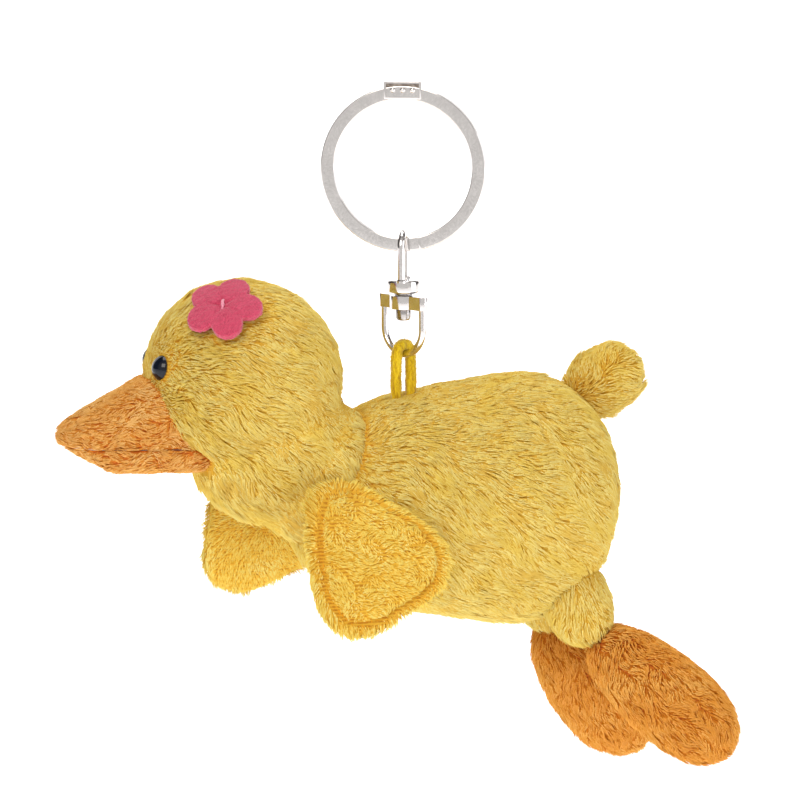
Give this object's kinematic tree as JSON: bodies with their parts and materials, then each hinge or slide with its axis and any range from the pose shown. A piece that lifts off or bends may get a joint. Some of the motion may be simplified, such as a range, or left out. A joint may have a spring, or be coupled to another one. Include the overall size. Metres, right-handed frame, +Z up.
{
  "type": "plush keychain",
  "caption": "Stuffed plush duck hung by a cord loop and a metal swivel from a flat split key ring, with sewn wings, feet, tail and a felt flower.",
  "frame": {"origin": "top of the split ring's inside, where a hook, hand or larger ring holds it", "axes": "+Z up as it hangs; the duck faces -X and its left side is -Y"},
  "size_m": [0.1005, 0.049, 0.1059],
  "materials": {
    "nickel_ring": "polished",
    "nickel_swivel": "polished",
    "rivet_steel": "satin",
    "cord_yellow": "matte",
    "plush_yellow": "matte",
    "plush_wing": "matte",
    "plush_orange": "matte",
    "plush_bill": "matte",
    "felt_pink": "matte",
    "stitch_thread": "matte",
    "bead_black": "gloss",
    "washer_plastic": "satin",
    "stuffing_white": "matte",
    "pellet_pouch": "matte"
  },
  "bodies": {
    "ring": {"key_ring": "nickel_ring"},
    "eye": {"swivel_eye": "nickel_swivel", "swivel_rivet": "rivet_steel", "rivet_washer": "rivet_steel"},
    "bow": {"swivel_bow": "nickel_swivel"},
    "cord": {"cord_loop": "cord_yellow"},
    "torso": {"torso_left_panel": "plush_yellow", "torso_right_panel": "plush_yellow", "torso_stuffing": "stuffing_white", "pellet_pouch": "pellet_pouch", "cord_knot": "cord_yellow", "leg_left": "plush_yellow", "leg_right": "plush_yellow"},
    "head": {"head_left_panel": "plush_yellow", "head_right_panel": "plush_yellow", "head_stuffing": "stuffing_white", "beak_upper": "plush_bill", "beak_lower": "plush_bill", "beak_stuffing": "stuffing_white", "eye_left": "bead_black", "eye_right": "bead_black", "eye_washer_left": "washer_plastic", "eye_washer_right": "washer_plastic", "flower": "felt_pink", "flower_stitch": "stitch_thread"},
    "wing_left": {"wing_left_outer": "plush_wing", "wing_left_inner": "plush_wing", "wing_left_stuffing": "stuffing_white"},
    "wing_right": {"wing_right_outer": "plush_wing", "wing_right_inner": "plush_wing", "wing_right_stuffing": "stuffing_white"},
    "foot_left": {"foot_left_top": "plush_orange", "foot_left_sole": "plush_orange", "foot_left_stuffing": "stuffing_white"},
    "foot_right": {"foot_right_top": "plush_orange", "foot_right_sole": "plush_orange", "foot_right_stuffing": "stuffing_white"},
    "tail": {"tail_upper": "plush_yellow", "tail_lower": "plush_yellow", "tail_stuffing": "stuffing_white"}
  },
  "joints": [
    {"name": "eye_slide", "type": "hinge", "parent": "ring", "child": "eye", "pos_m": [0, 0, -0.01045], "axis": [-0.4848, -0.8746, 0], "continuous": true},
    {"name": "bow_spin", "type": "hinge", "parent": "eye", "child": "bow", "pos_m": [0, 0, -0.031], "axis": [0, 0, 1], "continuous": true},
    {"name": "cord_swing", "type": "hinge", "parent": "bow", "child": "cord", "pos_m": [0, 0, -0.03853], "axis": [0.4384, -0.8988, 0], "range_deg": [-22, 22]},
    {"name": "body_roll", "type": "hinge", "parent": "cord", "child": "torso", "pos_m": [0, 0, -0.0449], "axis": [0.8988, 0.4384, 0], "range_deg": [-24, 24]},
    {"name": "head_nod", "type": "hinge", "parent": "torso", "child": "head", "pos_m": [-0.0151, 0, -0.055], "axis": [0, 1, 0], "range_deg": [-14, 6], "stiffness_Nm_per_rad": 0.06},
    {"name": "wing_left_flap", "type": "hinge", "parent": "torso", "child": "wing_left", "pos_m": [-0.0114, -0.0153, -0.0566], "axis": [-1, 0, 0], "range_deg": [-3, 65], "stiffness_Nm_per_rad": 0.003},
    {"name": "wing_right_flap", "type": "hinge", "parent": "torso", "child": "wing_right", "pos_m": [-0.015, 0.0153, -0.0579], "axis": [1, 0, 0], "range_deg": [-3, 65], "stiffness_Nm_per_rad": 0.003},
    {"name": "foot_left_swing", "type": "hinge", "parent": "torso", "child": "foot_left", "pos_m": [0.0286, -0.008, -0.0829], "axis": [0.342, 0.9397, 0], "range_deg": [-20, 25], "stiffness_Nm_per_rad": 0.006},
    {"name": "foot_right_swing", "type": "hinge", "parent": "torso", "child": "foot_right", "pos_m": [0.0276, 0.008, -0.0836], "axis": [-0.342, 0.9397, 0], "range_deg": [-25, 20], "stiffness_Nm_per_rad": 0.006},
    {"name": "tail_flex", "type": "hinge", "parent": "torso", "child": "tail", "pos_m": [0.0284, 0, -0.04595], "axis": [0, 1, 0], "range_deg": [-12, 8], "stiffness_Nm_per_rad": 0.004}
  ]
}
